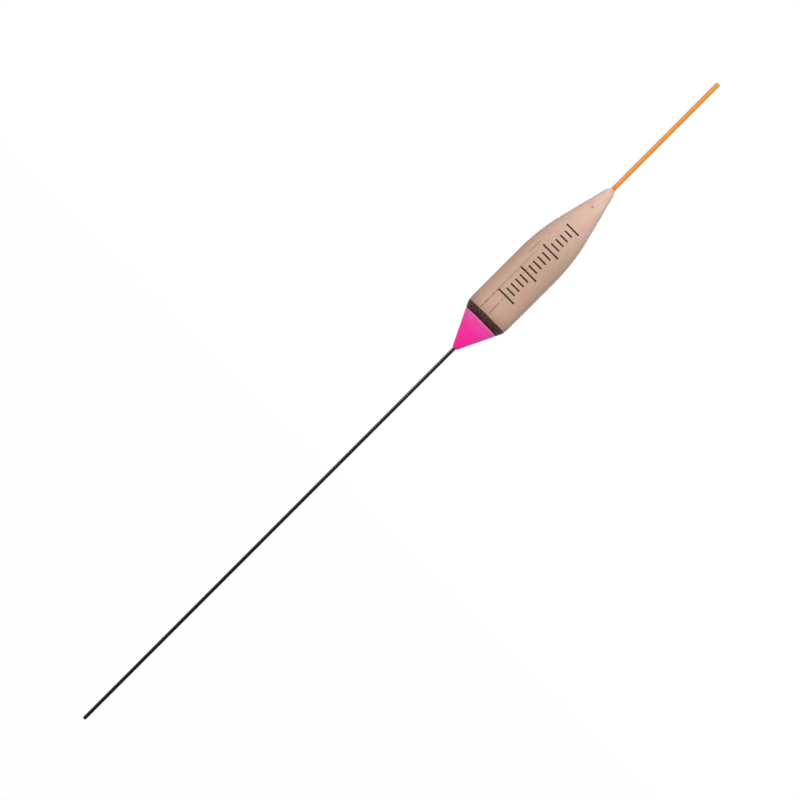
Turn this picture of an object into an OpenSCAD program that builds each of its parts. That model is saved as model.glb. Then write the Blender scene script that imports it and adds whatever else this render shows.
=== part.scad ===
// Slim pole-fishing float, upright as it sits in the water.
// A turned balsa body carries a carbon stem below and a thin sight antenna above.
// Millimetres. The stem's lower end is the origin and +Z runs up the float's axis.

/* [Stem] */
// Diameter of the carbon stem
stem_d = 0.6; // [0.4:0.05:0.8]
// Length of stem below the wood
stem_free_l = 83.9; // [60:0.1:110]
// Length of stem glued into the wood
stem_seat_l = 15; // [8:0.5:18]
// Diameter of the stem's glued end, which is ground to a slight taper
stem_end_d = 0.4; // [0.3:0.01:0.4]
// Radius of the rounding at the stem's lower end
stem_round_r = 0.15; // [0.05:0.01:0.19]

/* [Balsa body] */
// Largest diameter of the body
body_d = 7.88; // [7.4:0.02:9]
// Length of the wood, from its lower face to its upper face
body_l = 35.5; // [30:0.1:45]
// Half-angle of the cone at the lower end
base_angle = 25.8; // [22:0.1:32]
// Radius of the rounding between the lower cone and the barrel
shoulder_r = 3.2; // [2:0.1:10]
// Length of the upper taper, from the barrel to the wood's upper face
taper_l = 16.75; // [15:0.05:20]
// Radius of the curve between the barrel and the upper taper
crown_r = 34; // [24:0.2:40]
// Diameter at which the upper taper ends
nose_d = 1.66; // [1.4:0.01:2]
// Length of the rounded-off nose above the taper
nose_l = 0.4; // [0.1:0.01:0.6]
// Wood left round the stem's bore at the lower face
foot_wall = 0.04; // [0.03:0.01:0.2]
// Wood left round the antenna's bore at the upper face
tip_wall = 0.15; // [0.08:0.01:0.18]

/* [Antenna] */
// Diameter of the antenna
antenna_d = 0.8; // [0.65:0.01:0.9]
// Length of antenna above the wood
antenna_free_l = 24.2; // [15:0.1:40]
// Length of antenna glued into the wood
antenna_seat_l = 9; // [4:0.5:12]
// Diameter of the antenna's glued end, which is ground to a slight taper
antenna_end_d = 0.6; // [0.4:0.01:0.6]
// Radius of the rounding at the antenna's upper end
antenna_round_r = 0.1; // [0.02:0.01:0.2]

/* [Line eye] */
// Diameter of the eye's wire
eye_wire_d = 0.25; // [0.2:0.01:0.3]
// Clear hole that the fishing line passes through
eye_hole_d = 0.8; // [0.6:0.05:0.9]
// Depth of the eye below the wood's upper face
eye_drop_l = 5.8; // [3:0.1:8]
// Length of bare twisted wire between the wood and the ring
eye_neck_l = 0.3; // [0.1:0.01:0.4]
// Wood left between the eye's hole and the antenna's bore
eye_web = 0.15; // [0.1:0.01:0.3]

/* [Coats and print] */
// Thickness of the white undercoat
primer_t = 0.03; // [0.02:0.005:0.06]
// Thickness of the pink lacquer over the undercoat
pink_t = 0.05; // [0.03:0.005:0.1]
// Thickness of the black band over the undercoat
band_t = 0.04; // [0.02:0.005:0.1]
// Height of the pink lacquer's upper edge above the wood's lower face
pink_l = 5.83; // [4:0.01:6.2]
// Width of undercoat left bare between the pink and the black
reveal_w = 0.07; // [0.02:0.01:0.3]
// Width of the black band
band_w = 1.34; // [0.6:0.01:2]
// Thickness of the printed ink
ink_t = 0.03; // [0.02:0.005:0.05]
// Number of marks in the printed scale
mark_count = 16; // [6:1:16]
// Distance from one mark to the next
mark_pitch = 1; // [0.6:0.05:1]
// Width of a mark along the float
mark_w = 0.3; // [0.15:0.01:0.4]
// Length of a long mark round the body's widest part
long_mark_l = 3.6; // [2.5:0.1:5]
// Length of a short mark round the body's widest part
short_mark_l = 1.9; // [1:0.1:2.4]
// Number of marks from one long mark to the next
marks_per_group = 5; // [2:1:8]
// Height of the first mark above the band
mark_start_l = 4.1; // [1:0.1:5]

/* [Fits] */
// Thickness of the glue round each rod and wire
glue_t = 0.05; // [0.03:0.01:0.08]
// Length of each rod's taper that stays outside the wood
taper_lead_l = 0.6; // [0.55:0.05:1.5]
// Depth of glue beyond the end of each rod
glue_end_l = 0.3; // [0.1:0.05:0.6]
// Height of the glue fillet round the antenna
glue_fillet_l = 0.35; // [0.1:0.01:0.6]
// Width of the glue button round the eye's hole
button_w = 0.14; // [0.08:0.01:0.2]
// Thickness of the glue button
button_t = 0.06; // [0.04:0.01:0.08]
// Thickness at which lacquer and glue fillets feather out on a rod
feather_t = 0.02; // [0.01:0.005:0.04]

/* [Hidden] */
$fn = 96;
ARC_STEPS = 24;
FILLET_STEPS = 6;

stem_r = stem_d / 2;
stem_end_r = stem_end_d / 2;
antenna_r = antenna_d / 2;
antenna_end_r = antenna_end_d / 2;
body_r = body_d / 2;
nose_r = nose_d / 2;
wire_r = eye_wire_d / 2;

stem_bore_r = stem_r + glue_t;
antenna_bore_r = antenna_r + glue_t;
foot_r = stem_bore_r + foot_wall;
tip_r = antenna_bore_r + tip_wall;

// Heights above the stem's lower end
foot_z = stem_free_l;
tip_z = foot_z + body_l;
nose_z = tip_z - nose_l;
belly_z = tip_z - taper_l;
stem_top_z = foot_z + stem_seat_l;
antenna_bottom_z = tip_z - antenna_seat_l;
antenna_top_z = tip_z + antenna_free_l;
pink_top_z = foot_z + pink_l;
band_bottom_z = pink_top_z + reveal_w;
band_top_z = band_bottom_z + band_w;

// Shoulder: an arc tangent to the lower cone and to the barrel
shoulder_axis_r = body_r - shoulder_r;
shoulder_z = foot_z
    + (shoulder_axis_r + shoulder_r * cos(base_angle) - foot_r) / tan(base_angle)
    + shoulder_r * sin(base_angle);

// Crown: an arc tangent to the barrel and to the straight taper that ends at the nose
crown_axis_r = body_r - crown_r;
nose_dr = nose_r - crown_axis_r;
nose_dz = nose_z - belly_z;
taper_angle = atan2(nose_dz, nose_dr) - acos(crown_r / norm([nose_dr, nose_dz]));
crown_top_z = belly_z + crown_r * sin(taper_angle);

// Line eye: a ring level with the water, on a twisted shank that enters the wood from the side
eye_z = tip_z - eye_drop_l;
shank_r = eye_wire_d;
shank_hole_r = shank_r + glue_t;
shank_hole_end_y = antenna_bore_r + eye_web;
shank_end_y = shank_hole_end_y + glue_t;
ring_r = eye_hole_d / 2 + wire_r;
ring_y = surface_r(eye_z) + eye_neck_l + wire_r + ring_r;

// Lacquer thickness over the wood, and where it feathers out on the stem
pink_over_t = primer_t + pink_t;
lip_r = stem_r + feather_t;
lip_z = foot_z - (flank_r(foot_z, pink_over_t) - lip_r) / tan(base_angle);

// Radius of the lower cone at height z, grown outwards by t
function flank_r(z, t) = foot_r + (z - foot_z) * tan(base_angle) + t / cos(base_angle);

// Radius of the bare wood at height z, anywhere above the shoulder
function surface_r(z) =
    z < belly_z ? body_r
    : z < crown_top_z ? crown_axis_r + sqrt(pow(crown_r, 2) - pow(z - belly_z, 2))
    : nose_r + (nose_z - z) * tan(taper_angle);

// Points along an arc about [cr, cz], from angle a0 to angle a1
function arc(cr, cz, r, a0, a1, steps = ARC_STEPS) =
    [for (i = [0:steps]) let (a = a0 + (a1 - a0) * i / steps) [cr + r * cos(a), cz + r * sin(a)]];

// Points along a concave fillet that falls from [r1, z1] on the rod to [r0, z0] on the wood
function fillet(r0, z0, r1, z1) = [
    for (i = [0:FILLET_STEPS])
        let (u = i / FILLET_STEPS)
            [r1 + (r0 - r1) * pow(1 - u, 2), z0 + (z1 - z0) * u]
];

// Half-section of the body grown outwards by t, with the lower cone starting at height z0
module body_section(t = 0, z0 = foot_z) {
    polygon(concat(
        [[0, z0], [flank_r(z0, t), z0]],
        arc(shoulder_axis_r, shoulder_z, shoulder_r + t, -base_angle, 0),
        arc(crown_axis_r, belly_z, crown_r + t, 0, taper_angle),
        [
            [nose_r + t * cos(taper_angle), nose_z + t * sin(taper_angle)],
            [tip_r, tip_z],
            [0, tip_z],
        ]
    ));
}

// Half-section of a skin that lies between two growths of the body, from height z0 to height z1
module skin_section(inner_t, outer_t, z0, z1) {
    intersection() {
        difference() {
            body_section(outer_t, min(z0, foot_z));
            body_section(inner_t);
        }
        translate([0, z0])
            square([body_d, z1 - z0]);
    }
}

// Half-section of a rod along +Z: a rounded end at z = 0, then a cylinder of length straight_l,
// then a taper to end_r at z = l
module rod_section(r, end_r, l, straight_l, round_r) {
    polygon(concat(
        [[0, 0]],
        arc(r - round_r, round_r, round_r, -90, 0, FILLET_STEPS),
        [[r, straight_l], [end_r, l], [0, l]]
    ));
}

module stem_section() {
    rod_section(stem_r, stem_end_r, stem_top_z, foot_z - taper_lead_l, stem_round_r);
}

module antenna_section() {
    translate([0, antenna_top_z])
        mirror([0, 1])
            rod_section(
                antenna_r, antenna_end_r, antenna_top_z - antenna_bottom_z,
                antenna_free_l - taper_lead_l, antenna_round_r
            );
}

// A cylinder that lies along +Y at the eye's height, from y0 to y1
module eye_cylinder(r, y0, y1) {
    translate([0, y0, eye_z])
        rotate([-90, 0, 0])
            cylinder(r = r, h = y1 - y0);
}

// The wood without its holes, grown outwards by t
module body_blank(t = 0) {
    rotate_extrude()
        body_section(t);
}

module balsa_body() {
    color("BurlyWood")
        difference() {
            body_blank();
            translate([0, 0, foot_z])
                cylinder(r = stem_bore_r, h = stem_seat_l + glue_end_l);
            translate([0, 0, antenna_bottom_z - glue_end_l])
                cylinder(r = antenna_bore_r, h = antenna_seat_l + glue_end_l);
            eye_cylinder(shank_hole_r, shank_hole_end_y, body_r);
        }
}

module stem() {
    color([0.1, 0.1, 0.1])
        rotate_extrude()
            stem_section();
}

module antenna() {
    color([0.95, 0.55, 0.2])
        rotate_extrude()
            antenna_section();
}

module line_eye() {
    color("Silver")
        union() {
            translate([0, ring_y, eye_z])
                rotate_extrude()
                    translate([ring_r, 0])
                        circle(r = wire_r);
            eye_cylinder(shank_r, shank_end_y, ring_y - ring_r);
        }
}

// Glue cup round the stem's seated end
module stem_glue() {
    color("Khaki")
        rotate_extrude()
            difference() {
                translate([0, foot_z])
                    square([stem_bore_r, stem_seat_l + glue_end_l]);
                stem_section();
            }
}

// Glue cup round the antenna's seated end, with a fillet on the upper face of the wood
module antenna_glue() {
    fillet_top_z = tip_z + glue_fillet_l;
    color("Khaki")
        rotate_extrude()
            difference() {
                union() {
                    translate([0, antenna_bottom_z - glue_end_l])
                        square([antenna_bore_r, antenna_seat_l + glue_end_l]);
                    polygon(concat(
                        [[0, tip_z]],
                        fillet(tip_r, tip_z, antenna_r + feather_t, fillet_top_z),
                        [[0, fillet_top_z]]
                    ));
                }
                antenna_section();
            }
}

// Glue round the eye's shank, with a low button on the wood where the shank comes out
module eye_glue() {
    color("Khaki")
        difference() {
            intersection() {
                body_blank(button_t);
                union() {
                    eye_cylinder(shank_hole_r, shank_hole_end_y, body_r);
                    difference() {
                        eye_cylinder(shank_hole_r + button_w, 0, body_r);
                        body_blank();
                    }
                }
            }
            line_eye();
        }
}

module primer_coat() {
    color("White")
        rotate_extrude()
            skin_section(0, primer_t, foot_z, band_top_z);
}

// The pink lacquer closes over the wood's lower face and feathers out on the stem
module pink_coat() {
    color([0.95, 0.2, 0.6])
        rotate_extrude()
            difference() {
                skin_section(0, pink_over_t, lip_z, pink_top_z);
                skin_section(0, primer_t, foot_z, pink_top_z);
                stem_section();
            }
}

module black_band() {
    color([0.2, 0.15, 0.15])
        rotate_extrude()
            skin_section(primer_t, primer_t + band_t, band_bottom_z, band_top_z);
}

// Plain printed scale on the front of the body: one curved mark for each step
module scale_marks() {
    color("Black")
        for (i = [0:mark_count - 1]) {
            z0 = band_top_z + mark_start_l + i * mark_pitch;
            mark_l = i % marks_per_group == 0 ? long_mark_l : short_mark_l;
            sweep = mark_l / body_r * 180 / PI;
            rotate([0, 0, -90 - sweep / 2])
                rotate_extrude(angle = sweep)
                    skin_section(0, ink_t, z0, z0 + mark_w);
        }
}

balsa_body();
stem();
antenna();
line_eye();
stem_glue();
antenna_glue();
eye_glue();
primer_coat();
pink_coat();
black_band();
scale_marks();
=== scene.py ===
"""Finishes and fine pieces for a slim pole-fishing float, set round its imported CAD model."""

import logging
import math
from abc import ABC, abstractmethod
from collections.abc import Callable, Iterable, Sequence
from dataclasses import dataclass
from enum import Enum

import bmesh
import bpy
from mathutils import Matrix, Vector


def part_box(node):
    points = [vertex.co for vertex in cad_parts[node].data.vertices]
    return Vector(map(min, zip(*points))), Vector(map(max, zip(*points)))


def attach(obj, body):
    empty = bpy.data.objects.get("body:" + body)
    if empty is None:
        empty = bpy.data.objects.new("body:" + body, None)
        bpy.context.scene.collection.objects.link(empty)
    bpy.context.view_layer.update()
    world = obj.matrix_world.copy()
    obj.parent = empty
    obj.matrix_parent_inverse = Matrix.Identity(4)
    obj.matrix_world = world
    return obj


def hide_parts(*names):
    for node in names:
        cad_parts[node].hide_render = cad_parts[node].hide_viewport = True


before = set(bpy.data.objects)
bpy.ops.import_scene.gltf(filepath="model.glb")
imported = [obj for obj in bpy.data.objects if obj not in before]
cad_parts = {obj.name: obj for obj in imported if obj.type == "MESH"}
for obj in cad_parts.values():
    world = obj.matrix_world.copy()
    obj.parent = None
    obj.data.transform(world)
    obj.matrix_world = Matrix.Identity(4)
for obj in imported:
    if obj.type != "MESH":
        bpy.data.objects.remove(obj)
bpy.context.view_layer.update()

MM = 0.001
ONE_MM = (1, 1, 1)
ROOT = "root"
SHARP_EDGE_DEG = 32
LOG = logging.getLogger("float")

Socket = bpy.types.NodeSocket
Tree = bpy.types.NodeTree
Piece = bpy.types.Object
Triple = tuple[float, float, float]
Pair = tuple[float, float]


# --- What the CAD model gives ---


def span(node: str) -> Pair:
    """Gives a CAD node's lowest and highest Z in millimetres."""
    low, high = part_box(node)
    return low.z / MM, high.z / MM


def rod_radius(node: str) -> float:
    """Gives a CAD rod's largest radius in millimetres."""
    low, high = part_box(node)
    return (high.x - low.x) / 2 / MM


WOOD_FOOT, WOOD_TOP = span("balsa_body")
PINK_LIP, PINK_TOP = span("pink_coat")
BAND_LOW, BAND_TOP = span("black_band")
ROD_TOP = span("antenna")[1]


# --- Colours and nodes ---


def linear(code: str) -> tuple[float, float, float, float]:
    """Turns an sRGB hex colour into the linear one that a shader takes.

    Args:
        code: The colour, such as "#C49E88".

    Returns:
        Red, green, blue and an alpha of 1.
    """
    shares = [int(code[i:i + 2], 16) / 255 for i in (1, 3, 5)]
    red, green, blue = (c / 12.92 if c <= 0.04045 else ((c + 0.055) / 1.055) ** 2.4 for c in shares)
    return red, green, blue, 1.0


def add_node(tree: Tree, kind: str, inputs: dict | None = None, out: int | str = 0, **settings) -> Socket:
    """Adds a node with its settings and links.

    Args:
        tree: The node tree that takes the node.
        kind: The node's type, such as "ShaderNodeTexNoise".
        inputs: What each input gets, by name or number: a socket to link, or a value.
        out: The name or number of the output wanted.
        **settings: The node's own properties.

    Returns:
        That output, or None where the node has no outputs.
    """
    node = tree.nodes.new(kind)
    for key, value in settings.items():
        setattr(node, key, value)
    for key, value in (inputs or {}).items():
        if isinstance(value, Socket):
            tree.links.new(value, node.inputs[key])
        else:
            node.inputs[key].default_value = value
    return node.outputs[out] if node.outputs else None


def in_features(tree: Tree, size_mm: Sequence[float], centre_mm: Sequence[float] = (0, 0, 0)) -> Socket:
    """Measures places on the float in a feature's own real sizes.

    Args:
        tree: The material's nodes.
        size_mm: The feature's size along X, Y and Z.
        centre_mm: The point that becomes the origin.

    Returns:
        The coordinates as a vector socket.
    """
    place = add_node(tree, "ShaderNodeTexCoord", out="Object")
    scale = [1 / (s * MM) for s in size_mm]
    shift = [-c / s for c, s in zip(centre_mm, size_mm)]
    return add_node(tree, "ShaderNodeMapping", {"Vector": place, "Scale": scale, "Location": shift})


WHITE = "#FFFFFF"

# The numbers of a colour mix's sockets, whose names repeat
FACTOR, UNDER, OVER, MIXED = 0, 6, 7, 2


@dataclass(frozen=True)
class Coat:
    """A colour that comes in over those below it as a pattern's value goes from start to end."""

    colour: str
    start: float
    end: float
    share: float = 1.0


def coloured(tree: Tree, ground: str, coats: Iterable[tuple[Socket, Coat]]) -> Socket:
    """Builds a colour up in coats, as a painter does.

    Args:
        tree: The material's nodes.
        ground: The colour below all the coats.
        coats: Each coat with the pattern that it follows, from the lowest to the uppermost.

    Returns:
        The colour's socket.
    """
    colour = linear(ground)
    for pattern, coat in coats:
        share = add_node(tree, "ShaderNodeMapRange", {
            "Value": pattern, "From Min": coat.start, "From Max": coat.end, "To Max": coat.share,
        }, interpolation_type="SMOOTHSTEP")
        colour = add_node(tree, "ShaderNodeMix", {
            FACTOR: share, UNDER: colour, OVER: linear(coat.colour)}, MIXED, data_type="RGBA")
    return colour


# --- Finishes ---


class Finish(ABC):
    """A material that is named for the real one."""

    name: str

    def make(self) -> bpy.types.Material:
        """Makes the Blender material, once for all the pieces that share it.

        Returns:
            The material.
        """
        if self.name in bpy.data.materials:
            return bpy.data.materials[self.name]
        material = bpy.data.materials.new(self.name)
        material.use_nodes = True
        tree = material.node_tree
        tree.nodes.clear()
        add_node(tree, "ShaderNodeOutputMaterial", {"Surface": self.surface(tree)})
        return material

    @abstractmethod
    def surface(self, tree: Tree) -> Socket:
        """Builds the finish's nodes.

        Args:
            tree: The material's nodes.

        Returns:
            The shader that the output takes.
        """


# A fleck is full out to this share of its size, and its gaps break nothing at this value
FLECK_CORE, FLECK_CALM = 0.35, 0.3


@dataclass(frozen=True)
class Fleck:
    """A small mark, as a soft ellipsoid that the surface cuts through."""

    centre_mm: Triple
    size_mm: Triple
    colour: str
    share: float
    broken: float = 0.0

    def lay(self, tree: Tree, gaps: Socket) -> tuple[Socket, Coat]:
        """Gives the mark as a coat over the colours below it.

        Args:
            tree: The material's nodes.
            gaps: A pattern about 0.5 that breaks the mark up, as far as the mark is broken.

        Returns:
            The pattern that the mark follows, and its coat.
        """
        away = add_node(tree, "ShaderNodeVectorMath", {
            0: in_features(tree, self.size_mm, self.centre_mm)}, out="Value", operation="LENGTH")
        gap = add_node(tree, "ShaderNodeMath", {
            0: gaps, 1: self.broken, 2: FLECK_CALM - self.broken / 2}, operation="MULTIPLY_ADD")
        edge = add_node(tree, "ShaderNodeMath", {0: away, 1: gap}, operation="MAXIMUM")
        return edge, Coat(self.colour, 1.0, FLECK_CORE, self.share)


@dataclass(frozen=True)
class VarnishedBalsa(Finish):
    """Balsa, turned and sanded, under one brushed coat of clear varnish.

    The eye sees a pale pinkish tan with soft drifting tones, fine fibres and short brown pores that
    run along the float, a few long vessel lines that break into dashes, and hardly any gloss. The
    nose is painted paler, as painted light for the brighter light that falls on its upturned taper.
    Pores are 0.2 to 0.3 mm wide in balsa. Its fibres are 0.03 mm wide, so they are drawn in bundles
    of 0.14 mm.
    """

    name: str = "varnished_balsa"
    tan: str = "#CBAA94"
    rosy: Coat = Coat("#D2A796", 0.42, 0.64, 0.8)
    straw: Coat = Coat("#CCAC90", 0.52, 0.68, 0.7)
    # Paler towards the nose: painted light, for the brighter light on the upturned taper
    pale: Coat = Coat("#E5C7B6", WOOD_TOP - 17.5, WOOD_TOP + 1.0)
    wicked: Coat = Coat("#B48D80", BAND_TOP + 2.2, BAND_TOP - 0.1, 0.6)
    fibre: Coat = Coat("#BD9983", 0.5, 0.72, 0.3)
    light_fibre: Coat = Coat("#DCBFAA", 0.46, 0.3, 0.3)
    pore: Coat = Coat("#A07D68", 0.62, 0.76, 0.28)
    vessel: Coat = Coat("#84644C", 0.84, 0.98, 0.35)
    drift_mm: Triple = (2.4, 2.4, 8.0)
    fibre_mm: Triple = (0.14, 0.14, 3.2)
    pore_mm: Triple = (0.25, 0.25, 0.8)
    vessel_mm: Triple = (0.2, 0.2, 7.0)
    dash_mm: Triple = (0.6, 0.6, 0.34)
    flecks: tuple[Fleck, ...] = (
        Fleck((-1.72, -3.56, BAND_TOP + 2.2), (0.17, 0.5, 4.0), "#7E5A3A", 0.8, 6.0),
        Fleck((-1.72, -3.56, BAND_TOP + 8.0), (0.15, 0.5, 8.0), "#86664E", 0.45, 6.0),
        Fleck((-0.05, -3.93, BAND_TOP + 2.0), (0.17, 0.5, 3.4), "#7E5A3A", 0.7, 6.0),
        Fleck((-2.4, -3.05, WOOD_TOP - 15.0), (0.16, 0.5, 2.2), "#84604A", 0.6, 3.0),
        Fleck((-0.34, -1.72, WOOD_TOP - 4.2), (0.24, 0.5, 0.32), "#96503E", 0.8),
        Fleck((-0.85, -1.62, WOOD_TOP - 3.9), (0.8, 1.2, 1.3), "#DDA79C", 0.5),
        Fleck((0.8, -1.5, WOOD_TOP - 3.2), (0.6, 1.2, 1.8), "#EBD2BD", 0.5),
        # A lilac-white spot on the upper side of the nose: a painted highlight, not a mark in the wood
        Fleck((-0.5, -0.4, WOOD_TOP - 0.4), (0.45, 0.9, 0.75), "#E2CACE", 0.75),
        Fleck((0.25, -0.6, WOOD_TOP - 0.2), (0.4, 0.6, 0.5), "#EFB48C", 0.85),
    )

    def surface(self, tree: Tree) -> Socket:
        """Drifting tones, a nose painted paler as painted light, fibres, pores, vessel lines, single
        flecks and a painted highlight, under satin varnish.

        Args:
            tree: The material's nodes.

        Returns:
            The shader that the output takes.
        """
        drift, fibres, pores, vessels, gaps = (
            add_node(tree, "ShaderNodeTexNoise", {
                "Vector": in_features(tree, size), "Scale": 1.0, "Detail": detail, "Roughness": rough})
            for size, detail, rough in (
                (self.drift_mm, 3.0, 0.6), (self.fibre_mm, 2.0, 0.7), (self.pore_mm, 2.0, 0.6),
                (self.vessel_mm, 1.0, 0.5), (self.dash_mm, 2.0, 0.6)))
        straw = add_node(tree, "ShaderNodeTexNoise", {
            "Vector": in_features(tree, self.drift_mm, (11, 5, 3)), "Scale": 1.3, "Detail": 2.0})
        dashes = add_node(tree, "ShaderNodeMath", {0: gaps, 1: 0.35, 2: vessels}, operation="MULTIPLY_ADD")
        height = add_node(tree, "ShaderNodeSeparateXYZ", {"Vector": in_features(tree, ONE_MM)}, out="Z")
        colour = coloured(tree, self.tan, [
            (drift, self.rosy), (straw, self.straw), (height, self.pale), (height, self.wicked),
            (fibres, self.fibre), (fibres, self.light_fibre), (pores, self.pore), (dashes, self.vessel),
            *(fleck.lay(tree, gaps) for fleck in self.flecks)])
        relief = add_node(tree, "ShaderNodeMath", {0: pores, 1: fibres}, operation="ADD")
        bump = add_node(tree, "ShaderNodeBump", {
            "Height": relief, "Strength": 0.15, "Distance": 0.02 * MM}, invert=True)
        sheen = add_node(tree, "ShaderNodeMapRange", {
            "Value": pores, "From Min": 0.35, "From Max": 0.7, "To Min": 0.5, "To Max": 0.66})
        return add_node(tree, "ShaderNodeBsdfPrincipled", {
            "Base Color": colour, "Roughness": sheen, "Normal": bump, "Diffuse Roughness": 0.25,
            "Specular IOR Level": 0.12, "Coat Weight": 0.02, "Coat Roughness": 0.3})


@dataclass(frozen=True)
class FluorescentLacquer(Finish):
    """Fluorescent nitrocellulose lacquer, dipped over a white undercoat.

    The pigment gives back more light than it takes, so the eye sees a hot, even pink; that glow is
    painted on as an emission, which stays as bright in shade. The pink is painted deepest at the
    pointed end and paler towards its upper edge, as painted sheen for the white light that the upper
    cone reflects, with a painted highlight along that edge and a painted reflection near it. Its lip
    is duller, where it was wiped off the stem.
    """

    name: str = "fluorescent_pink_lacquer"
    pink: str = "#EE2BA2"
    # Deepest pink at the pointed end: painted, for the tip reflecting less white light
    painted_deep_tip: Coat = Coat("#EE1490", PINK_LIP + 3.1, PINK_LIP + 0.1, 0.9)
    wiped: Coat = Coat("#BC4484", PINK_LIP + 0.7, PINK_LIP + 0.3, 0.7)
    # Paler towards the upper edge: a painted sheen, for the white light the upper cone reflects
    painted_sheen: Coat = Coat("#E34FA9", PINK_TOP - 2.5, PINK_TOP + 0.3, 0.9)
    # A paler line along the upper edge: a painted highlight
    thin: Coat = Coat("#D678B4", PINK_TOP - 0.45, PINK_TOP - 0.02, 0.7)
    clouded: Coat = Coat("#F6309A", 0.52, 0.68, 0.5)
    # A paler spot high on the upper side of the cone: a painted reflection
    painted_reflection: Fleck = Fleck((-2.0, -2.2, PINK_TOP - 0.6), (1.1, 1.4, 0.9), "#DB62B0", 0.6)
    # The emission is a painted glow: it stands for the fluorescence, and stays as bright in shade
    glow: str = "#FF2F96"
    cloud_mm: Triple = (1.3, 1.3, 1.0)
    dust_mm: Triple = (0.12, 0.12, 0.12)
    speck: Fleck = Fleck((-2.1, -2.1, PINK_TOP - 0.85), (0.16, 0.6, 0.16), "#8A2A5E", 0.6)

    def surface(self, tree: Tree) -> Socket:
        """A pink painted paler upwards as painted sheen, with faint clouds, a painted reflection and a
        speck of dust under a soft gloss.

        Args:
            tree: The material's nodes.

        Returns:
            The shader that the output takes.
        """
        height = add_node(tree, "ShaderNodeSeparateXYZ", {"Vector": in_features(tree, ONE_MM)}, out="Z")
        clouds = add_node(tree, "ShaderNodeTexNoise", {
            "Vector": in_features(tree, self.cloud_mm), "Scale": 1.0, "Detail": 2.0})
        level = add_node(tree, "ShaderNodeMath", {0: clouds, 1: 1.2, 2: height}, operation="MULTIPLY_ADD")
        colour = coloured(tree, self.pink, [
            (height, self.painted_deep_tip), (level, self.painted_sheen), (clouds, self.clouded),
            self.painted_reflection.lay(tree, clouds), (height, self.thin), (height, self.wiped),
            self.speck.lay(tree, clouds)])
        dust = add_node(tree, "ShaderNodeTexNoise", {
            "Vector": in_features(tree, self.dust_mm), "Scale": 1.0})
        bump = add_node(tree, "ShaderNodeBump", {
            "Height": dust, "Strength": 0.15, "Distance": 0.01 * MM})
        return add_node(tree, "ShaderNodeBsdfPrincipled", {
            "Base Color": colour, "Roughness": 0.5, "Diffuse Roughness": 0.8, "Normal": bump,
            "Specular IOR Level": 0.12, "Coat Weight": 0.08, "Coat Roughness": 0.2,
            # Emission: a painted glow for the fluorescence
            "Emission Color": linear(self.glow), "Emission Strength": 0.14})


@dataclass(frozen=True)
class SpongedLacquer(Finish):
    """Thin black lacquer, sponged on as the float turns.

    The eye sees a dark band, mottled with brown and olive where the wood's colour comes through,
    grey where a dab of the sponge left more, and with a wine-black ridge along its lower edge, where
    the lacquer took up some pink.
    """

    name: str = "sponged_black_lacquer"
    black: str = "#241B19"
    warm: Coat = Coat("#5C301C", BAND_TOP - 0.8, BAND_TOP - 0.1, 0.6)
    thick: Coat = Coat("#3A393E", 0.5, 0.6, 0.55)
    brown: Coat = Coat("#7C4A34", 0.5, 0.66, 0.7)
    olive: Coat = Coat("#505034", 0.5, 0.62, 0.65)
    ridge: Coat = Coat("#4C0A30", BAND_LOW + 0.5, BAND_LOW + 0.24)
    mottle_mm: Triple = (0.42, 0.42, 0.34)
    dab_mm: Triple = (1.1, 1.1, 0.7)

    def surface(self, tree: Tree) -> Socket:
        """Brown and olive mottling and grey dabs in black, with a dark ridge along the lower edge.

        Args:
            tree: The material's nodes.

        Returns:
            The shader that the output takes.
        """
        mottle = add_node(tree, "ShaderNodeTexNoise", {
            "Vector": in_features(tree, self.mottle_mm), "Scale": 1.0, "Detail": 2.0, "Roughness": 0.6})
        olive = add_node(tree, "ShaderNodeTexNoise", {
            "Vector": in_features(tree, self.mottle_mm, (3, 7, 1)), "Scale": 0.9, "Detail": 1.0})
        dabs = add_node(tree, "ShaderNodeTexNoise", {
            "Vector": in_features(tree, self.dab_mm, (2, 9, 4)), "Scale": 1.0, "Detail": 1.0})
        height = add_node(tree, "ShaderNodeSeparateXYZ", {"Vector": in_features(tree, ONE_MM)}, out="Z")
        colour = coloured(tree, self.black, [
            (height, self.warm), (mottle, self.brown), (olive, self.olive), (dabs, self.thick),
            (height, self.ridge)])
        bump = add_node(tree, "ShaderNodeBump", {
            "Height": mottle, "Strength": 0.4, "Distance": 0.02 * MM})
        return add_node(tree, "ShaderNodeBsdfPrincipled", {
            "Base Color": colour, "Roughness": 0.5, "Normal": bump, "Specular IOR Level": 0.1})


@dataclass(frozen=True)
class BrushedUndercoat(Finish):
    """White undercoat, brushed on and left matt, which keeps the pink from going dull.

    Only a hairline of it shows, above the pink, and the pink has stained that.
    """

    name: str = "brushed_white_undercoat"
    white: str = "#E8A6CC"
    shade: Coat = Coat("#D88CB8", 0.4, 0.7)
    stroke_mm: Triple = (0.5, 0.5, 0.06)

    def surface(self, tree: Tree) -> Socket:
        """Fine brush strokes round the float.

        Args:
            tree: The material's nodes.

        Returns:
            The shader that the output takes.
        """
        strokes = add_node(tree, "ShaderNodeTexNoise", {
            "Vector": in_features(tree, self.stroke_mm), "Scale": 1.0, "Detail": 2.0})
        bump = add_node(tree, "ShaderNodeBump", {
            "Height": strokes, "Strength": 0.3, "Distance": 0.01 * MM})
        return add_node(tree, "ShaderNodeBsdfPrincipled", {
            "Base Color": coloured(tree, self.white, [(strokes, self.shade)]),
            "Roughness": 0.75, "Specular IOR Level": 0.2, "Normal": bump})


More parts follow.
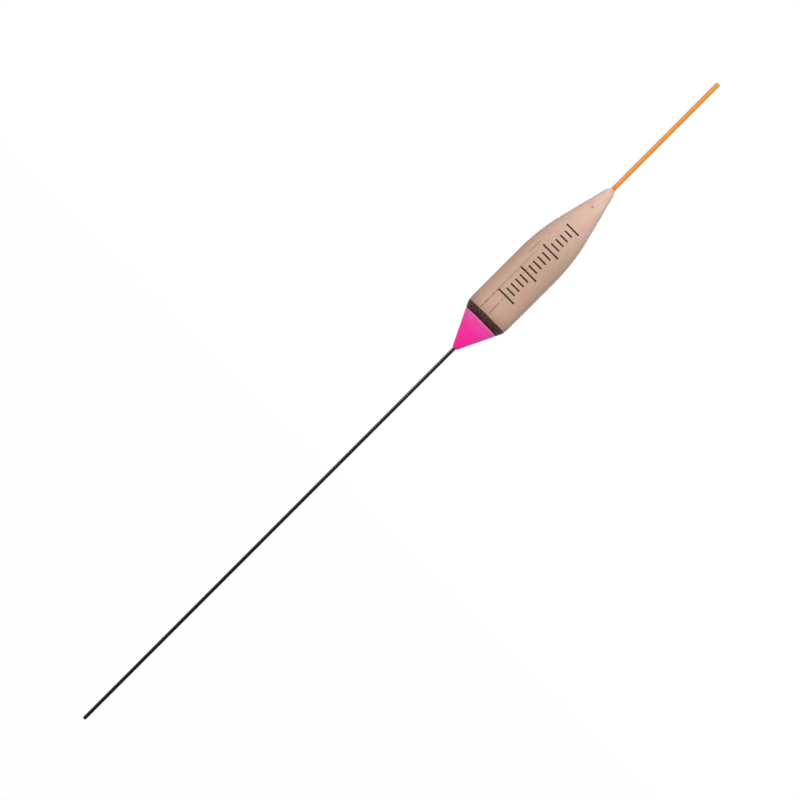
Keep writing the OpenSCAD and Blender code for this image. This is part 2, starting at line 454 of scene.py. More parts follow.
@dataclass(frozen=True)
class PultrudedCarbon(Finish):
    """A pultruded carbon-fibre rod, centreless ground and wiped with resin.

    The eye sees near black, painted greyer towards the wood as a painted sheen for the light that
    the rod reflects there, with a soft grey line of light along one side. The fibres are 7 microns
    wide, so they are drawn in bundles of 0.05 mm to show at all.
    """

    name: str = "ground_carbon_rod"
    resin: str = "#030303"
    # Greyer towards the wood: a painted sheen, for the light the rod reflects near the wood
    ground: Coat = Coat("#101010", WOOD_FOOT * 0.6, WOOD_FOOT, 0.7)
    fibre: Coat = Coat("#1A1A1A", 0.48, 0.72, 0.5)
    stained: Coat = Coat("#4A1030", PINK_LIP - 0.7, PINK_LIP + 0.1, 0.8)
    bundle_mm: Triple = (0.05, 0.05, 5.0)

    def surface(self, tree: Tree) -> Socket:
        """Bundles of fibre along the rod, in satin resin.

        Args:
            tree: The material's nodes.

        Returns:
            The shader that the output takes.
        """
        bundles = add_node(tree, "ShaderNodeTexNoise", {
            "Vector": in_features(tree, self.bundle_mm), "Scale": 1.0, "Detail": 2.0, "Roughness": 0.7})
        height = add_node(tree, "ShaderNodeSeparateXYZ", {"Vector": in_features(tree, ONE_MM)}, out="Z")
        colour = coloured(tree, self.resin, [
            (height, self.ground), (bundles, self.fibre), (height, self.stained)])
        bump = add_node(tree, "ShaderNodeBump", {
            "Height": bundles, "Strength": 0.3, "Distance": 0.01 * MM})
        sheen = add_node(tree, "ShaderNodeMapRange", {
            "Value": bundles, "From Min": 0.35, "From Max": 0.7, "To Min": 0.3, "To Max": 0.42})
        return add_node(tree, "ShaderNodeBsdfPrincipled", {
            "Base Color": colour, "Roughness": sheen, "Normal": bump, "Specular IOR Level": 0.1})


@dataclass(frozen=True)
class FluorescentRod(Finish):
    """A drawn polystyrene rod with fluorescent orange dye all through it.

    Light gathers in the rod, so its middle is a clear warm orange and its sides are deeper. Its
    glow is painted on as an emission, which lifts its shaded sides. The glue reddens its foot, and
    its sawn end is duller.
    """

    name: str = "fluorescent_orange_rod"
    orange: str = "#CC8545"
    amber: Coat = Coat("#CE8F3C", 0.42, 0.6)
    red: Coat = Coat("#CC5E26", WOOD_TOP + 1.2, WOOD_TOP + 0.4, 0.8)
    sawn: Coat = Coat("#CC9664", ROD_TOP - 0.8, ROD_TOP)
    # The emission is a painted glow: it stands for the fluorescence, and lifts the rod's shaded sides
    glow: str = "#FF9430"
    batch_mm: Triple = (2.0, 2.0, 1.2)
    draw_mm: Triple = (0.06, 0.06, 3.0)

    def surface(self, tree: Tree) -> Socket:
        """Dye that drifts along the rod, with draw lines under a soft gloss and a painted glow.

        Args:
            tree: The material's nodes.

        Returns:
            The shader that the output takes.
        """
        batch = add_node(tree, "ShaderNodeTexNoise", {
            "Vector": in_features(tree, self.batch_mm), "Scale": 1.0, "Detail": 2.0})
        height = add_node(tree, "ShaderNodeSeparateXYZ", {"Vector": in_features(tree, ONE_MM)}, out="Z")
        colour = coloured(tree, self.orange, [
            (batch, self.amber), (height, self.red), (height, self.sawn)])
        lines = add_node(tree, "ShaderNodeTexNoise", {
            "Vector": in_features(tree, self.draw_mm), "Scale": 1.0})
        bump = add_node(tree, "ShaderNodeBump", {
            "Height": lines, "Strength": 0.1, "Distance": 0.01 * MM})
        return add_node(tree, "ShaderNodeBsdfPrincipled", {
            "Base Color": colour, "Roughness": 0.42, "Specular IOR Level": 0.15, "Normal": bump,
            "Subsurface Weight": 0.2, "Subsurface Radius": (1.0, 0.45, 0.15), "Subsurface Scale": 0.3 * MM,
            "Emission Color": linear(self.glow), "Emission Strength": 0.22})


@dataclass(frozen=True)
class DrawnSteel(Finish):
    """Hard-drawn stainless wire: bright, with faint die lines and a slight warm cast."""

    name: str = "drawn_stainless_wire"
    steel: str = "#C9C6C0"
    dull: Coat = Coat("#A7A29A", 0.45, 0.7)
    scuff_mm: Triple = (0.12, 0.12, 0.12)

    def surface(self, tree: Tree) -> Socket:
        """Bright metal with scuffs from the winding pins.

        Args:
            tree: The material's nodes.

        Returns:
            The shader that the output takes.
        """
        scuffs = add_node(tree, "ShaderNodeTexNoise", {
            "Vector": in_features(tree, self.scuff_mm), "Scale": 1.0, "Detail": 3.0})
        sheen = add_node(tree, "ShaderNodeMapRange", {
            "Value": scuffs, "From Min": 0.35, "From Max": 0.7, "To Min": 0.2, "To Max": 0.34})
        return add_node(tree, "ShaderNodeBsdfPrincipled", {
            "Base Color": coloured(tree, self.steel, [(scuffs, self.dull)]), "Metallic": 1.0,
            "Roughness": sheen})


@dataclass(frozen=True)
class Epoxy(Finish):
    """Slow-setting epoxy: glassy, with a few fine bubbles.

    Clear, it shows what lies under it. Where it took up sanding dust it is milky and peach-coloured.
    """

    name: str = "clear_epoxy"
    resin: str = "#FFE9D2"
    streak: Coat = Coat("#F3D9C0", 0.5, 0.7)
    clearness: float = 0.85
    smears: tuple[Fleck, ...] = ()
    bubble_mm: Triple = (0.09, 0.09, 0.09)

    def surface(self, tree: Tree) -> Socket:
        """Glassy resin, a little rougher where bubbles lie.

        Args:
            tree: The material's nodes.

        Returns:
            The shader that the output takes.
        """
        bubbles = add_node(tree, "ShaderNodeTexNoise", {
            "Vector": in_features(tree, self.bubble_mm), "Scale": 1.0, "Detail": 1.0})
        sheen = add_node(tree, "ShaderNodeMapRange", {
            "Value": bubbles, "From Min": 0.5, "From Max": 0.75, "To Min": 0.1, "To Max": 0.25})
        bump = add_node(tree, "ShaderNodeBump", {
            "Height": bubbles, "Strength": 0.1, "Distance": 0.01 * MM})
        colour = coloured(tree, self.resin, [
            (bubbles, self.streak), *(smear.lay(tree, bubbles) for smear in self.smears)])
        return add_node(tree, "ShaderNodeBsdfPrincipled", {
            "Base Color": colour, "Roughness": sheen, "Normal": bump, "IOR": 1.52,
            "Transmission Weight": self.clearness})


@dataclass(frozen=True)
class PadPrintInk(Finish):
    """Two-part pad-printing ink: near black and matt, a little brown where the film is thin."""

    name: str = "pad_print_ink"
    full: str = "#150B0A"
    thin: Coat = Coat("#3B2721", 0.5, 0.75)
    film_mm: Triple = (0.18, 0.18, 0.12)

    def surface(self, tree: Tree) -> Socket:
        """A film of uneven thickness.

        Args:
            tree: The material's nodes.

        Returns:
            The shader that the output takes.
        """
        film = add_node(tree, "ShaderNodeTexNoise", {
            "Vector": in_features(tree, self.film_mm), "Scale": 1.0, "Detail": 2.0})
        return add_node(tree, "ShaderNodeBsdfPrincipled", {
            "Base Color": coloured(tree, self.full, [(film, self.thin)]), "Roughness": 0.6,
            "Specular IOR Level": 0.2})


def seen_directly(tree: Tree) -> Socket:
    """Tells the rays that look straight at something, even in gloss or through glass, from the rest.

    Args:
        tree: The nodes of a material or of the world.

    Returns:
        A socket that is 1 for such rays and 0 for the others.
    """
    rays = tree.nodes.new("ShaderNodeLightPath").outputs
    either = add_node(tree, "ShaderNodeMath", {
        0: rays["Is Camera Ray"], 1: rays["Is Glossy Ray"]}, operation="MAXIMUM")
    return add_node(tree, "ShaderNodeMath", {
        0: either, 1: rays["Is Transmission Ray"]}, operation="MAXIMUM")


@dataclass(frozen=True)
class WhiteCard(Finish):
    """A sheet of matt white card, which shows white where it is lit and keeps soft shadows."""

    name: str = "white_card"
    white: str = "#9C9C9C"
    lift: float = 0.75

    def surface(self, tree: Tree) -> Socket:
        """Matt card, lifted to white for what looks at it directly.

        Args:
            tree: The material's nodes.

        Returns:
            The shader that the output takes.
        """
        card = add_node(tree, "ShaderNodeBsdfDiffuse", {"Color": linear(self.white)})
        lift = add_node(tree, "ShaderNodeMath", {
            0: seen_directly(tree), 1: self.lift}, operation="MULTIPLY")
        glow = add_node(tree, "ShaderNodeEmission", {"Color": linear(WHITE), "Strength": lift})
        return add_node(tree, "ShaderNodeAddShader", {0: card, 1: glow})


# --- Meshes ---


def placed(name: str, data: bpy.types.ID) -> Piece:
    """Makes an object and puts it in the scene.

    Args:
        name: The object's name.
        data: Its mesh, its lamp or its camera.

    Returns:
        The object.
    """
    thing = bpy.data.objects.new(name, data)
    bpy.context.scene.collection.objects.link(thing)
    return thing


def dress(thing: Piece, material: bpy.types.Material) -> None:
    """Puts one material on the whole of an object."""
    thing.data.materials.clear()
    thing.data.materials.append(material)


def new_piece(name: str, points_mm: Sequence[Triple], faces: Sequence[Sequence[int]], finish: Finish,
              node: str) -> Piece:
    """Makes a smooth piece that stands for a CAD node, and fixes it to the float.

    Args:
        name: The piece's name.
        points_mm: Its points, in millimetres in the row frame.
        faces: Its faces, by the points' numbers.
        finish: Its finish.
        node: The CAD node that it replaces.

    Returns:
        The new object.
    """
    mesh = bpy.data.meshes.new(name)
    mesh.from_pydata([[c * MM for c in p] for p in points_mm], [], faces)
    solid = bmesh.new()
    solid.from_mesh(mesh)
    bmesh.ops.recalc_face_normals(solid, faces=solid.faces)
    solid.to_mesh(mesh)
    solid.free()
    mesh.polygons.foreach_set("use_smooth", [True] * len(mesh.polygons))
    mesh.set_sharp_from_angle(angle=math.radians(SHARP_EDGE_DEG))
    piece = placed(name, mesh)
    dress(piece, finish.make())
    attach(piece, ROOT)
    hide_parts(node)
    return piece


def wander(angle: float, seed: float, waves: int = 5) -> float:
    """Gives a smooth closed wander between -1 and 1, for an edge that a hand left.

    Args:
        angle: The place round the edge, in radians.
        seed: Sets how the edge wanders.
        waves: How many waves make it up. The last two are too fine for a thin rod.

    Returns:
        How far the edge is off its middle there.
    """
    turns = (2, 3, 5, 9, 14)[:waves]
    return sum(math.sin(k * angle + seed * k * k) for k in turns) / len(turns)


def joined_rings(rings: int, count: int, closed: bool) -> list[tuple[int, ...]]:
    """Gives the faces between rings of points, one after another.

    Args:
        rings: The number of rings.
        count: The number of points in each.
        closed: Whether the last ring joins the first. If not, both get an end face.

    Returns:
        The faces, by the points' numbers.
    """
    faces: list[tuple[int, ...]] = []
    for j in range(rings if closed else rings - 1):
        here, beyond = j * count, (j + 1) % rings * count
        for i in range(count):
            k = (i + 1) % count
            faces.append((here + i, here + k, beyond + k, beyond + i))
    if not closed:
        faces.append(tuple(reversed(range(count))))
        faces.append(tuple(range((rings - 1) * count, rings * count)))
    return faces


def turned_ring(name: str, outline: Callable[[float], Sequence[Pair]], segments: int, finish: Finish,
                node: str) -> Piece:
    """Turns a closed outline, clear of the axis, round Z.

    Args:
        name: The piece's name.
        outline: Gives radius and height of each point in millimetres for an angle, clockwise.
        segments: How many steps the turn has.
        finish: The piece's finish.
        node: The CAD node that it replaces.

    Returns:
        The new object.
    """
    points: list[Triple] = []
    for j in range(segments):
        angle = math.tau * j / segments
        points += [(r * math.cos(angle), r * math.sin(angle), z) for r, z in outline(angle)]
    faces = joined_rings(segments, len(points) // segments, closed=True)
    return new_piece(name, points, faces, finish, node)


class WoodContour:
    """The outside of the turned wood, as radius against height, read from its CAD node."""

    edge_steps: int = 5
    flat_steps: int = 24

    def __init__(self, node: Piece) -> None:
        """Reads the outline as the outer hull of the node's points.

        Args:
            node: The wood's CAD node.
        """
        spots = sorted({(round(v.co.z / MM, 4), round(math.hypot(v.co.x, v.co.y) / MM, 4))
                        for v in node.data.vertices})
        hull: list[Pair] = []
        for spot in spots:
            while len(hull) > 1 and self.turn(hull[-2], hull[-1], spot) >= 0:
                hull.pop()
            hull.append(spot)
        self.hull = hull

    @staticmethod
    def turn(a: Pair, b: Pair, c: Pair) -> float:
        """Gives the turn at b on the way from a to c: positive to the left."""
        return (b[0] - a[0]) * (c[1] - b[1]) - (b[1] - a[1]) * (c[0] - b[0])

    def outside(self, z: float, depth: float = 0.0) -> float:
        """Gives the radius at height z of a skin that lies over the wood.

        Args:
            z: The height, in millimetres.
            depth: The skin's thickness, square to the wood.

        Returns:
            The radius in millimetres.
        """
        for (z0, r0), (z1, r1) in zip(self.hull, self.hull[1:]):
            if z0 <= z <= z1 and z1 > z0:
                slope = (r1 - r0) / (z1 - z0)
                return r0 + slope * (z - z0) + depth * math.hypot(1, slope)
        return 0.0

    def skin(self, low: float, high: float, under: float, over: float, edge: float) -> list[Pair]:
        """Gives the closed outline of a skin over the wood, with rounded edges.

        Args:
            low: The skin's lower edge.
            high: Its upper edge.
            under: How far the skin's inside lies off the wood.
            over: How far its outside does.
            edge: How long each rounded edge is.

        Returns:
            Radius and height of each point, clockwise, in millimetres.
        """
        steps, long = self.edge_steps, high - low - 2 * edge
        ramp = [math.sin(math.pi / 2 * i / steps) for i in range(steps)]
        rise = [(low + edge * (1 - math.cos(math.asin(s))), s) for s in ramp]
        flat = [(low + edge + long * i / self.flat_steps, 1.0) for i in range(self.flat_steps + 1)]
        fall = [(high - (z - low), s) for z, s in reversed(rise)]
        outer = [(self.outside(z, under + (over - under) * s), z) for z, s in rise + flat + fall]
        inner = [(self.outside(z, under), z) for z, _ in reversed(flat)]
        return outer + inner


# --- The float ---


class Part(ABC):
    """A sub-assembly of the float, which builds and dresses its own pieces."""

    @abstractmethod
    def build(self) -> list[Piece]:
        """Makes the pieces and gives them as a list."""


@dataclass(frozen=True)
class TurnedBody(Part):
    """The turned balsa body, whose CAD node is kept."""

    finish: VarnishedBalsa = VarnishedBalsa()

    def build(self) -> list[Piece]:
        """Dresses the wood."""
        dress(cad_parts["balsa_body"], self.finish.make())
        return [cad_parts["balsa_body"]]


@dataclass(frozen=True)
class CarbonStem(Part):
    """The stem and the glue round its seated end, whose CAD nodes are kept."""

    carbon: PultrudedCarbon = PultrudedCarbon()
    epoxy: Epoxy = Epoxy()

    def build(self) -> list[Piece]:
        """Dresses the rod and its glue.

        Returns:
            The rod and the glue.
        """
        stem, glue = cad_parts["stem"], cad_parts["stem_glue"]
        dress(stem, self.carbon.make())
        dress(glue, self.epoxy.make())
        return [stem, glue]


@dataclass(frozen=True)
class PaintedFoot(Part):
    """The coats on the lower cone: undercoat, pink lacquer and a black band."""

    contour: WoodContour
    primer_mm: float = 0.03
    pink_mm: float = 0.05
    band_mm: float = 0.04
    edge_mm: float = 0.05
    feather_mm: float = 0.1
    waver_mm: float = 0.025
    wetted_mm: float = 0.24
    wetted_waver_mm: float = 0.04
    lip_mm: float = 0.02
    bead_steps: int = 5
    segments: int = 128

    def build(self) -> list[Piece]:
        """Lays the three coats, from the wood outwards."""
        return [self.undercoat(), self.pink(), self.band()]

    def undercoat(self) -> Piece:
        """Lays the white, which stops a little below the black band's upper edge.

        Returns:
            The undercoat.
        """
        low, high = span("primer_coat")
        skin = self.contour.skin(low, high - self.feather_mm, 0.0, self.primer_mm, self.edge_mm)
        return turned_ring("brushed_undercoat", lambda angle: skin, self.segments,
                           BrushedUndercoat(), "primer_coat")

    def pink(self) -> Piece:
        """Lays the pink, which closes over the wood's lower face and wets the stem.

        Returns:
            The pink coat.
        """
        stem = rod_radius("stem")
        over = self.primer_mm + self.pink_mm

        def outline(angle: float) -> list[Pair]:
            """Rounds the skin's lower end down to the stem, as a drop does.

            Args:
                angle: The place round the float, in radians.

            Returns:
                Radius and height of each point, in millimetres.
            """
            top = PINK_TOP + self.waver_mm * wander(angle, 1.3)
            skin = self.contour.skin(WOOD_FOOT, top, self.primer_mm, over, self.edge_mm)
            skin = [p for p in skin if p[1] >= WOOD_FOOT + self.edge_mm]
            wet = PINK_LIP + self.wetted_mm + self.wetted_waver_mm * wander(angle, 4.1, waves=3)
            lip, (brim, low) = stem + self.lip_mm, skin[0]
            bead = [(lip + (brim - lip) * u * (3 - u) / 2, wet + (low - wet) * u * (1 + u) / 2)
                    for u in (i / self.bead_steps for i in range(self.bead_steps))]
            return [(stem, WOOD_FOOT), (stem, wet)] + bead + skin

        return turned_ring("pink_dip_coat", outline, self.segments, FluorescentLacquer(), "pink_coat")

    def band(self) -> Piece:
        """Lays the black band, whose edges waver where the sponge touched.

        Returns:
            The band.
        """

        def outline(angle: float) -> list[Pair]:
            """Moves the band's two edges.

            Args:
                angle: The place round the float, in radians.

            Returns:
                Radius and height of each point, in millimetres.
            """
            start = BAND_LOW + self.waver_mm * wander(angle, 2.2)
            stop = BAND_TOP - self.waver_mm / 2 * (1 - wander(angle, 5.7))
            over = self.primer_mm + self.band_mm
            return self.contour.skin(start, stop, self.primer_mm, over, self.edge_mm)

        return turned_ring("sponged_band", outline, self.segments, SpongedLacquer(), "black_band")


class Mark(Enum):
    """The two kinds of mark on the printed scale, with the length of each round the wood."""

    LONG = 3.6
    SHORT = 1.9


@dataclass(frozen=True)
class PrintedScale(Part):
    """The plain scale that is pad-printed on the front of the wood.

    A mark is at its narrowest at its ends. Its ink is flat over most of the mark's width and falls
    to the shoulder's share of its thickness at the sides.
    """

    contour: WoodContour
    count: int = 16
    group: int = 5
    pitch_mm: float = 1.0
    width_mm: float = 0.3
    ink_mm: float = 0.03
    corner_mm: float = 0.09
    narrowest: float = 0.25
    flat: float = 0.8
    shoulder: float = 0.6
    rough_mm: float = 0.012
    wavers_per_mm: float = 4.0
    columns: int = 40

    def build(self) -> list[Piece]:
        """Prints all the marks as one piece.

        Returns:
            The print.
        """
        low, _ = span("scale_marks")
        points: list[Triple] = []
        faces: list[tuple[int, ...]] = []
        for i in range(self.count):
            kind = Mark.LONG if i % self.group == 0 else Mark.SHORT
            start = len(points)
            rows = self.mark(low + i * self.pitch_mm + self.width_mm / 2, kind, i + 0.5)
            points += [p for row in rows for p in row]
            ring = joined_rings(len(rows), len(rows[0]), closed=False)
            faces += [tuple(start + v for v in face) for face in ring]
        return [new_piece("scale_print", points, faces, PadPrintInk(), "scale_marks")]

    def mark(self, middle: float, kind: Mark, seed: float) -> list[list[Triple]]:
        """Gives one mark as sections, one after another round the wood.

        Args:
            middle: The height of the mark's middle line.
            kind: Which mark it is.
            seed: Sets how its edges waver.

        Returns:
            The sections' points, in millimetres.
        """
        widest = max(r for _, r in self.contour.hull)
        half, high = kind.value / 2, self.width_mm / 2
        upper = ((self.flat, 1.0), (1.0, self.shoulder), (1.0, 0.0))
        shape = [(-dz, share) for dz, share in reversed(upper)] + list(upper)
        sections = []
        for j in range(self.columns + 1):
            along = -half + kind.value * j / self.columns
            inside = max(abs(along) - (half - self.corner_mm), 0.0)
            cut = self.corner_mm - math.sqrt(max(self.corner_mm ** 2 - inside ** 2, 0.0))
            rough = self.rough_mm * (wander(along * self.wavers_per_mm, seed) - 1)
            reach = max(high - cut, high * self.narrowest) + rough
            angle = -math.pi / 2 + along / widest
            section = []
            for dz, share in shape:
                z = middle + reach * dz
                r = self.contour.outside(z, self.ink_mm * share)
                section.append((r * math.cos(angle), r * math.sin(angle), z))
            sections.append(section)
        return sections


@dataclass(frozen=True)
class SightAntenna(Part):
    """The antenna, whose CAD node is kept, and the collar of glue that it stands in."""

    rod: FluorescentRod = FluorescentRod()
    glue: Epoxy = Epoxy(
        name="dusty_epoxy", resin="#E2BCA4", streak=Coat("#D9A98A", 0.45, 0.65), clearness=0.0,
        # The lilac-white smear on the upper side is a painted highlight
        smears=(Fleck((-0.5, -0.2, WOOD_TOP + 0.1), (0.5, 0.8, 0.6), "#E4CECC", 0.8),
                Fleck((0.4, -0.2, WOOD_TOP + 0.25), (0.6, 0.8, 0.6), "#DC8548", 0.9)))
    lip_mm: float = 0.02
    waver_mm: float = 0.03
    near_face_mm: float = 1.0
    fillet_steps: int = 8
    fillet_bulge: float = 0.9
    segments: int = 72

    def build(self) -> list[Piece]:
        """Dresses the rod and makes its collar.

        Returns:
            The rod and the collar.
        """
        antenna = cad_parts["antenna"]
        dress(antenna, self.rod.make())
        return [antenna, self.collar()]

    @staticmethod
    def wood_radii(depth_mm: float) -> list[float]:
        """Gives how far the wood's points are off the axis, down to a depth below its upper face."""
        spots = [v.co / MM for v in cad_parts["balsa_body"].data.vertices]
        return [math.hypot(p.x, p.y) for p in spots if p.z > WOOD_TOP - depth_mm]

    def collar(self) -> Piece:
        """Makes the glue round the rod, with a full fillet that climbs it unevenly.

        Returns:
            The collar.
        """
        bottom, top = span("antenna_glue")
        rod = rod_radius("antenna")
        bore, brim = min(self.wood_radii(self.near_face_mm)), max(self.wood_radii(self.lip_mm))
        lip, steps = rod + self.lip_mm, self.fillet_steps

        def outline(angle: float) -> list[Pair]:
            """Gives the sleeve in the bore and the fillet on the wood's upper face.

            Args:
                angle: The place round the float, in radians.

            Returns:
                Radius and height of each point, in millimetres.
            """
            crest = top - self.waver_mm * (1 - wander(angle, 3.4, waves=3))
            fillet = [(lip + (brim - lip) * (1 - i / steps) ** self.fillet_bulge,
                       WOOD_TOP + (crest - WOOD_TOP) * i / steps) for i in range(steps + 1)]
            sleeve = [(rod, crest), (rod, bottom), (bore, bottom), (bore, WOOD_TOP)]
            return sleeve + fillet

        return turned_ring("antenna_collar", outline, self.segments, self.glue, "antenna_glue")


@dataclass(frozen=True)
class LineEye(Part):
    """The wire eye: one length of wire, twisted on itself below its ring, and the glue at its foot.

    The drop's profile pairs shares of its radius with how proud of the wood it is there, in
    millimetres.
    """

    contour: WoodContour
    steel: DrawnSteel = DrawnSteel()
    glue: Epoxy = Epoxy()
    hole_mm: float = 0.8
    pitch_mm: float = 1.0
    opening_deg: float = 45.0
    throat_mm: float = 0.7
    untwisting: int = 6
    bend_pull: float = 1 / 2.6
    twist_steps: int = 44
    bend_steps: int = 8
    ring_steps: int = 48
    sides: int = 14
    drop_profile: tuple[Pair, ...] = (
        (1.0, 0.0), (0.9, 0.02), (0.78, 0.04), (0.66, 0.075), (0.52, 0.13))
    sunk_mm: float = 0.03
    drop_tip_mm: float = 0.01
    drop_sides: int = 32

    def build(self) -> list[Piece]:
        """Bends the wire and glues it in.

        Returns:
            The wire and its glue.
        """
        low, high = (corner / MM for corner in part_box("line_eye"))
        shank = (high.z - low.z) / 2
        ring = self.hole_mm / 2 + (high.x - low.x - self.hole_mm) / 4
        gauge = (high.x - low.x) / 2 - ring
        centre = Vector((0, high.y - ring - gauge, (low.z + high.z) / 2))
        return [self.wire(centre, ring, gauge, low.y), self.drop(centre.z, shank)]

    def wire(self, centre: Vector, ring: float, gauge: float, inner: float) -> Piece:
        """Sweeps the wire up one strand of the twist, round the ring and down the other strand.

        Args:
            centre: The ring's centre.
            ring: The ring's radius, to the middle of the wire.
            gauge: The wire's radius.
            inner: How far from the float's axis the twist begins.

        Returns:
            The wire.
        """
        neck = centre.y - self.throat_mm
        strand: list[Vector] = []
        for i in range(self.twist_steps + 1):
            share = i / self.twist_steps
            y = inner + (neck - inner) * share
            turn = math.tau * (neck - y) / self.pitch_mm * (1 - share ** self.untwisting)
            strand.append(Vector((gauge * math.cos(turn), y, centre.z + gauge * math.sin(turn))))
        opening = math.radians(self.opening_deg)
        meet = Vector((ring * math.sin(opening), centre.y - ring * math.cos(opening), centre.z))
        heading = Vector((math.cos(opening), math.sin(opening), 0))
        reach = (meet - strand[-1]).length * self.bend_pull
        controls = (strand[-1], strand[-1] + Vector((0, reach, 0)), meet - heading * reach, meet)
        for i in range(1, self.bend_steps):
            t = i / self.bend_steps
            weights = ((1 - t) ** 3, 3 * t * (1 - t) ** 2, 3 * t * t * (1 - t), t ** 3)
            strand.append(sum((w * c for w, c in zip(weights, controls)), Vector()))
        mirrored = [Vector((-p.x, p.y, 2 * centre.z - p.z)) for p in reversed(strand)]
        step = (math.tau - 2 * opening) / self.ring_steps
        loop = [centre + ring * Vector((math.sin(a), -math.cos(a), 0))
                for a in (opening + step * i for i in range(self.ring_steps + 1))]
        return self.swept(strand + loop + mirrored, gauge)

    def swept(self, path: Sequence[Vector], gauge: float) -> Piece:
        """Sweeps the wire's round section along its middle line.

        Args:
            path: The middle line.
            gauge: The wire's radius.

        Returns:
            The wire.
        """
        last = len(path) - 1
        points: list[Triple] = []
        across = (path[1] - path[0]).orthogonal().normalized()
        for i, middle in enumerate(path):
            heading = (path[min(i + 1, last)] - path[max(i - 1, 0)]).normalized()
            across = (across - heading * across.dot(heading)).normalized()
            up = heading.cross(across)
            for j in range(self.sides):
                turn = math.tau * j / self.sides
                points.append(tuple(middle + gauge * (across * math.cos(turn) + up * math.sin(turn))))
        faces = joined_rings(len(path), self.sides, closed=False)
        return new_piece("twisted_eye_wire", points, faces, self.steel, "line_eye")

    def drop(self, height: float, shank: float) -> Piece:
        """Makes the glue in the eye's hole, which ends in a low drop on the wood.

        Args:
            height: The eye's height.
            shank: The twisted shank's radius.

        Returns:
            The glue.
        """
        low, high = (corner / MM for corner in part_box("eye_glue"))
        brim = (high.x - low.x) / 2
        # The hole's wall lies a quarter of the way from the shank to the drop's rim
        hole = shank + (brim - shank) / 4
        dome = [(share * brim, proud) for share, proud in self.drop_profile]
        rings = [(hole, None), (hole, -self.sunk_mm), (brim, -self.sunk_mm), *dome,
                 (self.drop_tip_mm, dome[-1][1])]
        points: list[Triple] = []
        for radius, proud in rings:
            for j in range(self.drop_sides):
                turn = math.tau * j / self.drop_sides
                x, z = radius * math.cos(turn), height + radius * math.sin(turn)
                skin = math.sqrt(self.contour.outside(z) ** 2 - x ** 2)
                points.append((x, low.y if proud is None else skin + proud, z))
        faces = joined_rings(len(rings), self.drop_sides, closed=False)
        return new_piece("eye_glue_drop", points, faces, self.glue, "eye_glue")


# --- The studio ---


@dataclass(frozen=True)
class Softbox:
    """A broad lamp far from the float, as a sun that is wide enough for soft edges."""

    name: str
    source: Triple
    strength: float
    width_deg: float

    def hang(self) -> None:
        """Puts the lamp up."""
        data = bpy.data.lights.new(self.name, "SUN")
        data.energy, data.angle = self.strength, math.radians(self.width_deg)
        lamp = placed(self.name, data)
        lamp.rotation_euler = Vector(self.source).to_track_quat("Z", "Y").to_euler()


@dataclass(frozen=True)
class Strip:
    """A narrow lamp to one side of the float, which shows only in gloss.

    One that is flagged lights a single CAD node, as black card round the lamp would see to.
    """

    name: str
    place_mm: Triple
    size_mm: Pair
    watts: float
    flagged_to: str = ""

    def hang(self) -> None:
        """Puts the lamp up, facing the float's axis."""
        data = bpy.data.lights.new(self.name, "AREA")
        data.shape = "RECTANGLE"
        data.size, data.size_y = (side * MM for side in self.size_mm)
        data.energy = self.watts
        lamp = placed(self.name, data)
        lamp.visible_diffuse = False
        place = Vector(self.place_mm) * MM
        lamp.location = place
        lamp.rotation_euler = Vector((place.x, place.y, 0)).to_track_quat("Z", "Y").to_euler()
        if self.flagged_to:
            lit = bpy.data.collections.new(self.name)
            lit.objects.link(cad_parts[self.flagged_to])
            lamp.light_linking.receiver_collection = lit


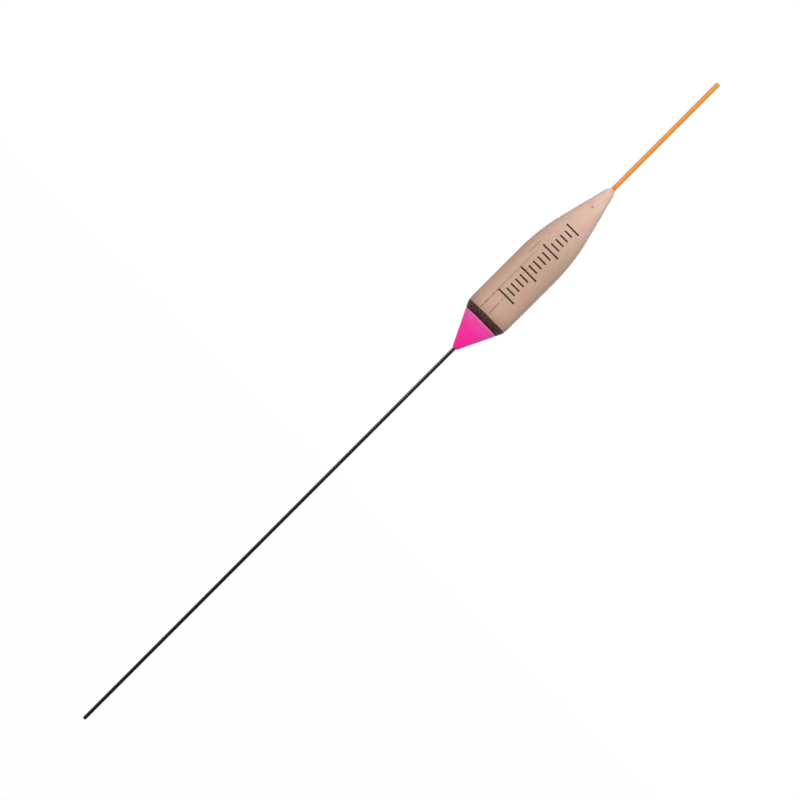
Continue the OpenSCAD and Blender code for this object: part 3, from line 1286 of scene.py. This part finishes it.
@dataclass(frozen=True)
class Studio:
    """The camera, the lamps, the floor and the world."""

    camera_mm: Triple = (-0.29, -560.0, 71.8)
    lens_mm: float = 157.5
    sensor_mm: float = 36.0
    nearest_m: float = 0.01
    farthest_m: float = 20.0
    lean_deg: float = 44.99
    ambient: float = 0.22
    floor_mm: float = 4000.0
    softboxes: tuple[Softbox, ...] = (
        Softbox("front", (-0.04, -0.9, 0.28), 2.56, 36),
        Softbox("back", (0.0, 0.9, 0.38), 2.2, 50),
    )
    strips: tuple[Strip, ...] = (
        Strip("strip", (-235.0, -80.0, 120.0), (60.0, 150.0), 0.65),
        Strip("stem strip", (-235.0, -80.0, 140.0), (60.0, 100.0), 3.2, flagged_to="stem"),
    )

    def build(self) -> None:
        """Sets up everything that isn't the float."""
        self.set_camera()
        for lamp in (*self.softboxes, *self.strips):
            lamp.hang()
        self.set_world()
        self.lay_floor()

    def set_camera(self) -> None:
        """Looks along +Y, rolled so that the float leans to the upper right."""
        data = bpy.data.cameras.new("camera")
        data.lens, data.sensor_width = self.lens_mm, self.sensor_mm
        data.clip_start, data.clip_end = self.nearest_m, self.farthest_m
        camera = placed("camera", data)
        lean = math.radians(self.lean_deg)
        right = Vector((math.cos(lean), 0, math.sin(lean)))
        up = Vector((-math.sin(lean), 0, math.cos(lean)))
        turn = Matrix((right, up, right.cross(up))).transposed()
        camera.matrix_world = Matrix.Translation(Vector(self.camera_mm) * MM) @ turn.to_4x4()
        bpy.context.scene.camera = camera

    def set_world(self) -> None:
        """Gives an even pale surround that shows as white."""
        world = bpy.data.worlds.new("surround")
        world.use_nodes = True
        tree = world.node_tree
        tree.nodes.clear()
        level = add_node(tree, "ShaderNodeMapRange", {
            "Value": seen_directly(tree), "To Min": self.ambient})
        light = add_node(tree, "ShaderNodeBackground", {"Color": linear(WHITE), "Strength": level})
        add_node(tree, "ShaderNodeOutputWorld", {"Surface": light})
        bpy.context.scene.world = world

    def lay_floor(self) -> None:
        """Lays the card that the stem's end touches."""
        half = self.floor_mm / 2 * MM
        corners = [(-half, -half, 0), (half, -half, 0), (half, half, 0), (-half, half, 0)]
        mesh = bpy.data.meshes.new("floor")
        mesh.from_pydata(corners, [], [(0, 1, 2, 3)])
        floor = placed("floor", mesh)
        dress(floor, WhiteCard().make())


def main() -> None:
    """Builds the float's sub-assemblies in order and sets up the studio round them."""
    logging.basicConfig(level=logging.INFO, format="%(name)s: %(message)s")
    contour = WoodContour(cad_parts["balsa_body"])
    parts = (TurnedBody(), CarbonStem(), PaintedFoot(contour), PrintedScale(contour), SightAntenna(),
             LineEye(contour))
    for part in parts:
        for piece in part.build():
            LOG.info("%s: %s, %d faces", type(part).__name__, piece.name, len(piece.data.polygons))
    Studio().build()
    bpy.context.scene.view_settings.view_transform = "Standard"


if __name__ == "__main__":
    main()
